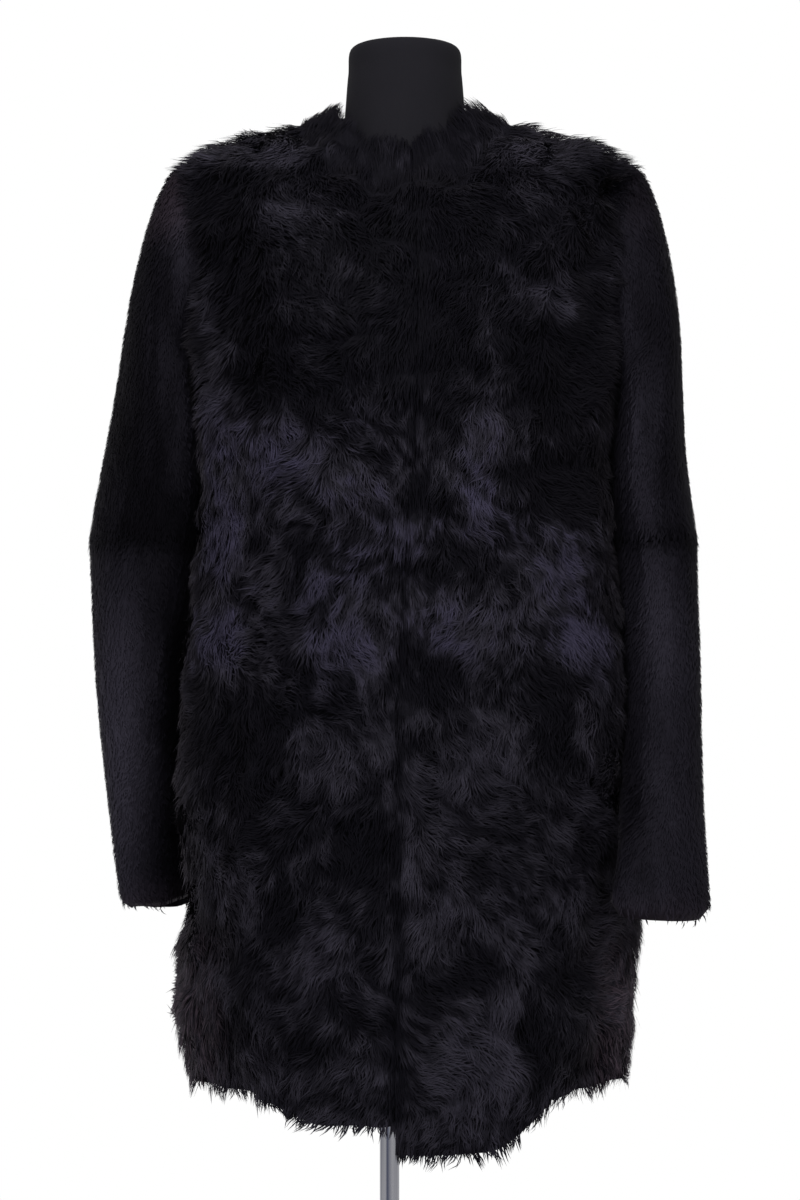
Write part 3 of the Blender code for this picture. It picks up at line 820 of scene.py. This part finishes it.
def growPile(name, mesh, area, tree, finish):
    # Combed tufts on a copy of a sleeve's cloth; the copy itself isn't kept.
    points, normals, _ = meshArrays(mesh)
    copy = mesh.copy()
    still = points[:, 0] * 0
    down = -up + 0.25 * np.stack((softNoise(points, 0.05, 51), softNoise(points, 0.05, 52), still), axis=1)
    flow = unit(down - normals * (down * normals).sum(axis=1)[:, None])
    capTop = smooth(normals[:, 2], 0.55, 0.9)[:, None]
    outward = np.stack((np.sign(points[:, 0] - centreX), still, still), axis=1)
    flow = unit(flow * (1 - capTop) + outward * capTop)
    combed = copy.attributes.new("flow", "FLOAT_VECTOR", "POINT")
    combed.data.foreach_set("vector", flow.astype(np.float32).ravel())
    setAttribute(copy, "tone", sleeveTone(points))
    setAttribute(copy, "rose", roseRim(points))
    cuffward = np.where(points[:, 2] < 0.80, edgeDistance(copy, 0), 1.0)
    setAttribute(copy, "fill", smooth(cuffward, *shortPile["bareCuff"]))
    maker = linked("maker", copy)
    growth = maker.modifiers.new("pile", "NODES")
    growth.node_group = tree
    inputs = {"Density": shortPile["tufts"] / area, "Size": 1.0, "Seed": shortPile["seed"]}
    for key, value in inputs.items():
        growth[tree.interface.items_tree[key].identifier] = value
    result = evaluated(maker)
    result.name = name
    blades = len(result.vertices) // 5
    bakeCells(result, 5, blades, np.tile(shortPile["bladeHeights"], blades))
    outward = np.empty(len(result.vertices) * 3, dtype=np.float32)
    result.attributes["outward"].data.foreach_get("vector", outward)
    softNormals(result, unit(outward.reshape(-1, 3).astype(float)), 0.96)
    for spare in ("outward", "flow", "fill"):
        if spare in result.attributes:
            result.attributes.remove(result.attributes[spare])
    return addObject(name, result, finish)


# Painted highlights and painted shade of the sleeves: lighter along lit ridges and edges, darker where a
# sleeve hangs beside the body and in bands by the elbows. Place sideways from the form's middle, height,
# half sizes in mm, and how much from -1 to 1. The sleeves' backs have them too.
sleeveMarks = inMetres([
    # side, height, halfWidth, halfHeight, change
    (184, 1290, 6, 45, 0.16),
    (191, 1200, 5, 50, 0.16),
    (200, 1115, 5, 55, 0.3),
    (210, 1040, 6, 40, 0.28),
    (217, 960, 9, 55, 0.24),
    (215, 860, 12, 70, 0.08),
    (200, 1130, 14, 140, 0.05),
    (196, 800, 12, 120, -0.12),
    (180, 980, 12, 50, 0.12),
    (228, 1035, 35, 8, -0.12),
    (-190, 1290, 12, 50, 0.24),
    (-184, 1150, 10, 90, 0.18),
    (-200, 850, 18, 170, -0.24),
    (-258, 830, 24, 160, 0.66),
    (-240, 1040, 35, 12, -0.1),
])


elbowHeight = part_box("sleeve_upper_left")[0][2]


def sleeveTone(points):
    # Upright streaks and soft patches in the sheared fur, with the marks' painted highlights and painted
    # shade; the wearer's left sleeve catches more light, painted as a lighter tone.
    grain = softNoise(points * np.array((3.0, 3.0, 0.35)), 0.016, 61)
    side = points[:, 0] - centreX
    height = points[:, 2]
    low = 1 - smooth(height, 0.92, 1.06)
    tone = np.where(side > 0, 0.13 + 0.14 * low, 0.05 + 0.18 * low)
    for x, z, halfWidth, halfHeight, change in sleeveMarks:
        tone = tone + change * np.exp(-((side - x) / halfWidth) ** 2 - ((height - z) / halfHeight) ** 2)
    seam = np.exp(-((height - elbowHeight) / 0.005) ** 2)
    return np.clip(tone + 0.035 * grain + 0.03 * softNoise(points, 0.07, 62) - 0.12 * seam, 0, 1)


# ---- finishes
def longHairFinish():
    look = Finish("longHair", (0.01, 0.01, 0.015), 0.55, {
        "Specular IOR Level": 0.010, "Sheen Weight": 0.022, "Sheen Roughness": 0.45,
        "Sheen Tint": (1.0, 0.90, 1.04, 1.0)})
    tone = look.attribute("tone")
    # tone carries furShade's painted highlights and shade; violet is a painted sheen on the crests; rose is
    # painted rosy rim light
    colour = look.blend(tone ** 1.4, (0.0013, 0.0012, 0.0020), (0.0165, 0.0153, 0.0208))
    colour = look.blend(look.attribute("violet") * tone, colour, (0.0165, 0.0148, 0.0270))
    colour = look.blend(look.attribute("rose") * 0.6, colour, (0.0420, 0.0300, 0.0385))
    # painted shade at the hairs' roots, lighter towards the tips
    depth = 0.62 + look.attribute("along") * 0.38
    look.feed("Base Color", look.shade(depth, colour))
    look.feed("Roughness", 0.62 - tone * 0.12)
    return look


def hideFinish():
    look = Finish("hide", (0.002, 0.002, 0.003), 0.8, {"Specular IOR Level": 0.02})
    stripes = look.noise(look.stretched((1.0, 1.0, 0.3)), 420.0)
    look.feed("Base Color", look.blend(stripes, (0.0006, 0.0006, 0.0009), (0.0030, 0.0027, 0.0042)))
    look.bump(stripes, 0.0012)
    return look


def liningFinish():
    look = Finish("lining", (0.004, 0.004, 0.005), 0.5, {"Specular IOR Level": 0.08})
    weave = look.noise(look.place(), 700.0, 1.0)
    look.feed("Base Color", look.blend(weave, (0.0030, 0.0030, 0.0040), (0.0060, 0.0060, 0.0078)))
    return look


def shortHairFinish():
    look = Finish("shortHair", (0.008, 0.008, 0.012), 0.7, {
        "Specular IOR Level": 0.010, "Sheen Weight": 0.016, "Sheen Roughness": 0.35,
        "Sheen Tint": (1.0, 0.92, 1.06, 1.0)})
    tone = look.attribute("tone")
    fine = look.noise(look.stretched((1.0, 1.0, 0.12)), 260.0, 2.0)
    # tone carries the painted highlights and shade of the sleeves' marks; rose is painted rosy rim light
    colour = look.blend(tone, (0.0007, 0.0006, 0.0010), (0.0145, 0.0132, 0.0190))
    colour = look.shade(0.75 + fine * 0.5, colour)
    colour = look.blend(look.attribute("rose") * 0.7, colour, (0.0300, 0.0215, 0.0290))
    # painted shade at the blades' roots, lighter towards the tips
    look.feed("Base Color", look.shade(0.82 + look.attribute("along") * 0.18, colour))
    look.feed("Roughness", 0.75 - tone * 0.1)
    return look


def jerseyFinish():
    look = Finish("jersey", (0.004, 0.004, 0.005), 0.9, {"Specular IOR Level": 0.05})
    fine = look.noise(look.stretched((1.0, 1.0, 0.45)), 1500.0, 1.0)
    soft = look.noise(look.place(), 30.0)
    colour = look.blend(soft, (0.0022, 0.0021, 0.0029), (0.0032, 0.0030, 0.0040))
    look.feed("Base Color", look.blend(fine * 0.3, colour, (0.0060, 0.0056, 0.0074)))
    look.bump(fine, 0.0003)
    return look


def chromeFinish():
    look = Finish("chrome", (0.4, 0.42, 0.45), 0.12, {"Metallic": 1.0})
    stripes = look.noise(look.stretched((1.0, 1.0, 0.01)), 190.0, 1.0)
    smear = look.noise(look.stretched((1.0, 1.0, 0.15)), 60.0)
    share = look.node("ShaderNodeMapRange", {"interpolation_type": "SMOOTHSTEP"}, {
        "Value": stripes, "From Min": 0.38, "From Max": 0.62})
    # upright stripes of dark navy and light grey down the pole: painted reflection bands
    look.feed("Base Color", look.blend(share, (0.062, 0.068, 0.100), (0.25, 0.25, 0.27)))
    look.feed("Roughness", 0.07 + smear * 0.10)
    return look


def plateFinish():
    look = Finish("plateChrome", (0.30, 0.31, 0.34), 0.16, {"Metallic": 1.0})
    smear = look.noise(look.place(), 14.0)
    look.feed("Base Color", look.blend(smear, (0.26, 0.27, 0.30), (0.38, 0.39, 0.42)))
    look.feed("Roughness", 0.12 + smear * 0.10)
    return look


finishes = {
    "longHair": longHairFinish(),
    "hide": hideFinish(),
    "lining": liningFinish(),
    "shortHair": shortHairFinish(),
    "jersey": jerseyFinish(),
    "chrome": chromeFinish(),
    "plate": plateFinish(),
}
print("finishes made")

# ---- the coat
hideThickness = 0.0018
coat = {
    # inset of the hide below the fur's outer form, hairs, and the flat cut
    "front_left": {"inset": 0.0064, "hairs": 60000, "flat": (0.31, 0.90)},
    "front_right": {"inset": 0.0064, "hairs": 60000, "flat": (0.31, 0.88)},
    "back": {"inset": 0.0064, "hairs": 62000, "flat": (0.58, 0.88)},
    "sleeve_upper_left": {"inset": 0.0022, "flat": (0.36, 0.36)},
    "sleeve_upper_right": {"inset": 0.0022, "flat": (0.37, 0.36)},
    "sleeve_lower_left": {"inset": 0.0022, "flat": (0.34, 0.33)},
    "sleeve_lower_right": {"inset": 0.0022, "flat": (0.34, 0.33)},
}
headTufts = {"hairs": 2500, "scale": 0.7, "puff": 0.5}  # long hair over a sleeve's head
hideShape = {
    # metres that the hide lies nearer to the fur's outer form
    "besideSleeves": 0.0082,
    "leftShoulder": 0.0026,
    "rightShoulder": 0.0010,
    "sleeveInner": 0.0022,
    "leftSleeveOuter": 0.0028,
    # and farther from it
    "lowFlanks": 0.0060,
    "sleeveHead": 0.0050,
    # metres that parts are moved: sleeves towards the body, the throat's edge up
    "headInwards": 0.014,
    "innerInwards": 0.0075,
    "throatRise": 0.014,
}
cuff = {
    "turnIn": 0.0080,      # the edge is rounded in this far, over "reach" up the sleeve
    "reach": 0.013,
    "frontDrop": 0.0050,   # how much lower the right one hangs in front,
    "middleDrop": 0.0042,  # and round a line this far beside the form's middle
    "middleSide": -0.211,
    "middleHalf": 0.017,
    "outerRise": 0.0035,   # but less at its outer end
}
tuft = linked("tuft", tuftMesh())
combedPile = pileTree(tuft, finishes["shortHair"])


def camel(name):
    words = name.split("_")
    return words[0] + "".join(word.capitalize() for word in words[1:])


def insetOf(name, mesh, inset):
    # How far the hide lies below the fur's outer form: less along the seams beside and above the sleeves.
    points, normals, _ = meshArrays(mesh)
    side = np.abs(points[:, 0] - centreX)
    if "sleeve" in name:
        outer = smooth(normals[:, 0], 0.3, 0.8) * (points[:, 0] > centreX)
        outer = outer * smooth(points[:, 2], 0.95, 1.05)
        depth = inset + hideShape["sleeveHead"] * tucked(mesh)
        depth = depth - hideShape["sleeveInner"] * innerSide(points, normals)
        return depth - hideShape["leftSleeveOuter"] * outer
    height = points[:, 2]
    rim = (1 - smooth(edgeDistance(mesh, 0.62), 0.0, 0.035)) * smooth(side, 0.11, 0.15)
    flank = smooth(np.abs(normals[:, 0]), 0.72, 0.94)
    isLeft = points[:, 0] > centreX
    above = np.where(isLeft, smooth(height, 0.64, 0.69), smooth(height, 0.72, 0.80))
    raised = np.maximum(rim, flank) * above * (1 - smooth(height, 1.31, 1.34))
    corner = 1 - smooth(height, 0.565, 0.615)
    low = flank * (1 - above) * np.where(isLeft, 0.5, 0.3 + 0.7 * smooth(height, 0.68, 0.71) + 0.9 * corner)
    shoulder = smooth(side, 0.110, 0.150) * smooth(height, 1.325, 1.350)
    shoulderRise = np.where(isLeft, hideShape["leftShoulder"], hideShape["rightShoulder"])
    depth = inset - hideShape["besideSleeves"] * raised + hideShape["lowFlanks"] * low
    return depth - shoulderRise * shoulder


def innerSide(points, normals):
    # How much of a sleeve's surface faces the body where the two hang side by side.
    facingBody = smooth(-np.sign(points[:, 0] - centreX) * normals[:, 0], 0.1, 0.6)
    return facingBody * smooth(points[:, 2], 0.74, 0.84) * (1 - smooth(points[:, 2], 1.17, 1.21))


def tucked(mesh):
    # The strip of a sleeve's head that is tucked under the body at the armhole.
    return 1 - smooth(edgeDistance(mesh, 1.12), 0.0, 0.020)


def neckFront(mesh, points):
    # The strip of a front's edge at the base of the neck, where the fur stands up against the form.
    strip = 1 - smooth(edgeDistance(mesh, 1.27), 0.0, 0.030)
    return strip * np.exp(-((points[:, 0] - centreX) / 0.036) ** 2) * (points[:, 1] < 0)


def cuffDrop(points, normals):
    # How much lower the right cuff hangs than its solid's.
    side = points[:, 0] - centreX
    middle = np.exp(-((side - cuff["middleSide"]) / cuff["middleHalf"]) ** 2)
    drop = cuff["frontDrop"] * smooth(-normals[:, 1], 0, 0.6) + cuff["middleDrop"] * middle
    return drop - cuff["outerRise"] * smooth(-side, 0.232, 0.250)


def shapedSheet(name, inset):
    # A cut piece's hide as a single layer, and the normals of the solid's face that it was taken from.
    isSleeve = "sleeve" in name
    mesh = outerSheet(name, 1 if isSleeve else 2)
    points, normals, _ = meshArrays(mesh)
    depth = insetOf(name, mesh, inset)
    if isSleeve:
        inwards = hideShape["headInwards"] * tucked(mesh)
        inwards = inwards + hideShape["innerInwards"] * innerSide(points, normals)
        points[:, 0] += np.sign(centreX - points[:, 0]) * inwards
        if "lower" in name:
            fromCuff = edgeDistance(mesh, 0) + (points[:, 2] > 0.85)
            nearCuff = np.clip(1 - fromCuff / cuff["reach"], 0, 1)
            depth = depth + cuff["turnIn"] * (1 - np.sqrt(1 - nearCuff ** 2))
            if "right" in name:
                points[:, 2] -= cuffDrop(points, normals) * (1 - smooth(fromCuff, 0, 0.025))
    else:
        points = liftHem(points)
        points[:, 2] += hideShape["throatRise"] * neckFront(mesh, points)
        beside = smooth(np.abs(normals[:, 0]), 0.72, 0.94)
        depth = depth - np.maximum(lumpHeight(points, normals), -0.0080 + 0.0070 * beside)
    setPoints(mesh, points - normals * depth[:, None])
    return mesh, normals


def thickened(sheet):
    # The sheet with its thickness, and lining on its inner side.
    sheet.data.materials.append(finishes["lining"].material)
    wall = sheet.modifiers.new("wall", "SOLIDIFY")
    wall.thickness = hideThickness
    wall.offset = -1
    wall.material_offset = 1
    name = sheet.name
    mesh = evaluated(sheet)
    mesh.shade_smooth()
    return linked(name, mesh)


def dressPiece(name, facts):
    # One cut piece: its hide as a thin shell, and the fur on it.
    isBody = "hairs" in facts
    mesh, outward = shapedSheet(name, facts["inset"])
    points, normals, triangles = meshArrays(mesh)
    sheet = points, unit(normals + outward), triangles  # half of the lumps' slope, so no hair lies edge on
    area = doubledAreas(points, triangles).sum() / 2
    fur = []
    if isBody:
        fur.append(growHair(camel(name) + "Hair", sheet, facts["hairs"], finishes["longHair"]))
    else:
        fur.append(growPile(camel(name) + "Pile", mesh, area, combedPile, finishes["shortHair"]))
        # painted shade along the hide's open edges: the cuff, the armhole and the elbow seam
        setAttribute(mesh, "tone", sleeveTone(points) * smooth(edgeDistance(mesh, 0), 0.0, 0.004))
        setAttribute(mesh, "rose", roseRim(points))
        # a little painted shade, as at the pile's roots
        setAttribute(mesh, "along", np.full(len(points), 0.4))
    if "upper" in name:
        head = (1 - smooth(edgeDistance(mesh, 1.12), 0.004, 0.022)) * smooth(points[:, 2], 1.30, 1.335)
        fur.append(growHair(
            camel(name) + "Tufts", sheet, headTufts["hairs"], finishes["longHair"], weight=head,
            scale=headTufts["scale"], puff=headTufts["puff"]))
    shell = thickened(addObject(camel(name) + "Hide", mesh, finishes["hide" if isBody else "shortHair"]))
    for piece in [shell] + fur:
        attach(piece, "root")
    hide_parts(name)


def bodyPoints():
    # Points all over the coat's body, for laying out the patches.
    names = [name for name, facts in coat.items() if "hairs" in facts]
    return np.vstack([meshArrays(outerSheet(name, 1))[0] for name in names])


patches = makePatches(bodyPoints())
print("patches", len(patches["places"]))
for name, facts in coat.items():
    dressPiece(name, facts)
bpy.data.objects.remove(tuft)
print("coat made")


# ---- the dress form and its stand
neckTop = {
    "domeHeight": 0.029,
    "squareness": 7,       # 2 is round
    "lowered": 0.0072,
}


def squaredTop(points):
    # Fills out the rim of the neck's domed end, so that its top is nearly flat.
    power = neckTop["squareness"]
    foot = formHigh[2] - neckTop["domeHeight"]
    ring = points[np.abs(points[:, 2] - foot) < 0.004]
    middle = (ring.min(axis=0) + ring.max(axis=0)) / 2
    half = (ring.max(axis=0) - ring.min(axis=0)) / 2
    middle[2] = foot
    half[2] = neckTop["domeHeight"]
    place = (points - middle) / half
    out = np.hypot(place[:, 0], place[:, 1])
    rise = np.maximum(place[:, 2], 0)
    fuller = np.maximum(out ** power + rise ** power, 1e-9) ** (-1 / power)
    share = smooth(rise, 0.0, 0.35)
    return middle + place * (1 + (fuller - 1) * share)[:, None] * half


def smoothForm():
    mesh = nodes["form_body"].data.copy()
    keepPaired(welded(mesh), mesh)
    mesh = subdivided(mesh, 2)
    points = squaredTop(meshArrays(mesh)[0])
    points[:, 2] -= neckTop["lowered"] * smooth(points[:, 2], 1.40, formHigh[2])
    setPoints(mesh, points)
    form = addObject("formCover", mesh, finishes["jersey"])
    form.data.shade_smooth()
    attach(form, "root")
    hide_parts("form_body")


smoothForm()
for name in ("pole", "pole_socket", "base_socket", "base_plate"):
    part = nodes[name]
    part.data.materials.clear()
    part.data.materials.append(finishes["plate" if name == "base_plate" else "chrome"].material)
print("form and stand made")

# ---- floor, light and camera
stage = {
    "floorRadius": 1.8,
    "cameraSide": 0.0092,
    "cameraHeight": 0.9754,
    "cameraDistance": 2.6,
    "viewHeight": 1.056,   # what the picture spans at the form, top to bottom
    "lightAim": (0, 0, 0.95),
    # name, place, width and height, watts
    "lights": [
        ("keyLight", (-0.8, -2.1, 2.9), (1.0, 1.0), 170),
        ("fillLight", (1.7, -2.1, 1.7), (0.9, 1.2), 70),
    ],
}


def makeFloor():
    shape = bmesh.new()
    bmesh.ops.create_circle(shape, cap_ends=True, segments=96, radius=stage["floorRadius"])
    mesh = bpy.data.meshes.new("floor")
    shape.to_mesh(mesh)
    shape.free()
    look = Finish("paleFloor", (0.85, 0.85, 0.86), 0.6)
    addObject("floor", mesh, look)


def addLight(name, place, size, power):
    light = bpy.data.lights.new(name, "AREA")
    light.shape = "RECTANGLE"
    light.size, light.size_y = size
    light.energy = power
    holder = linked(name, light)
    holder.location = place
    aim = Vector(stage["lightAim"]) - Vector(place)
    holder.rotation_euler = aim.to_track_quat("-Z", "Y").to_euler()


def makeLights():
    world = bpy.data.worlds.new("studio")
    world.use_nodes = True
    glow = world.node_tree.nodes["Background"].inputs
    glow["Color"].default_value = (1, 1, 1, 1)
    glow["Strength"].default_value = 1.0
    bpy.context.scene.world = world
    for facts in stage["lights"]:
        addLight(*facts)


def makeCamera():
    lens = bpy.data.cameras.new("camera")
    lens.sensor_fit = "VERTICAL"
    lens.sensor_height = 36
    lens.lens = lens.sensor_height * stage["cameraDistance"] / stage["viewHeight"]
    holder = linked("camera", lens)
    holder.location = (stage["cameraSide"], -stage["cameraDistance"], stage["cameraHeight"])
    holder.rotation_euler = (math.pi / 2, 0, 0)
    bpy.context.scene.camera = holder


makeFloor()
makeLights()
makeCamera()
bpy.context.scene.view_settings.view_transform = "Standard"
print("stage made")
